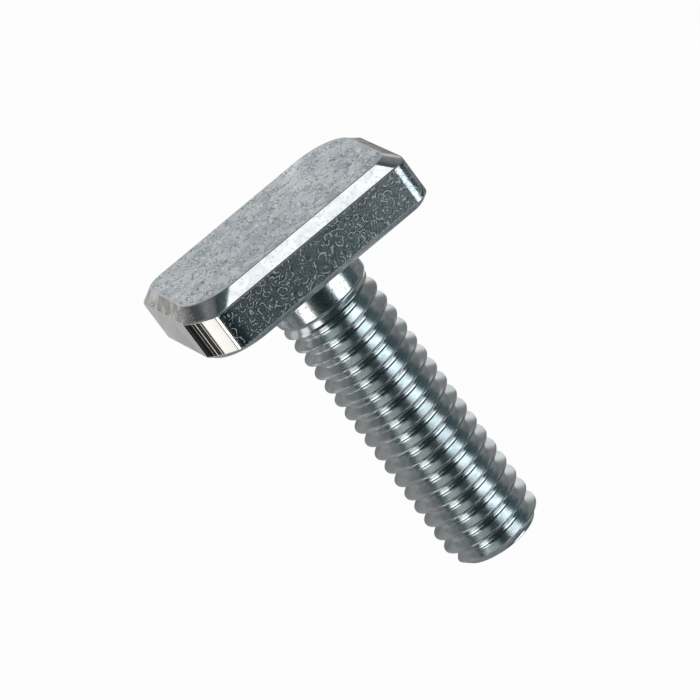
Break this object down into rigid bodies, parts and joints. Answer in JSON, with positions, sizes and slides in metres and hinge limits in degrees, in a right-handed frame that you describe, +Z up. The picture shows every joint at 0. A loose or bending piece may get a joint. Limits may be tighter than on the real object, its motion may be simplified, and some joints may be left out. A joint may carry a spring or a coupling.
{
  "type": "t slot bolt",
  "caption": "T slot bolt with a rectangular hammer head, two corners cut back so it turns and locks in the slot, a short plain neck and a right-hand M6 thread.",
  "frame": {"origin": "centre of the underside of the bounding box, on the surface the bolt lies on", "axes": "+Z up from that surface; the shank points along +X and down by about 6.5 degrees, from the head to the tip, whose end rests on the surface; Y runs along the length of the head"},
  "size_m": [0.0242, 0.0154, 0.0106],
  "materials": {
    "zinc_plated_steel": "bright zinc plate, satin on the head and glossy on the thread"
  },
  "bodies": {
    "root": {"t_slot_bolt": "zinc_plated_steel"}
  },
  "joints": []
}
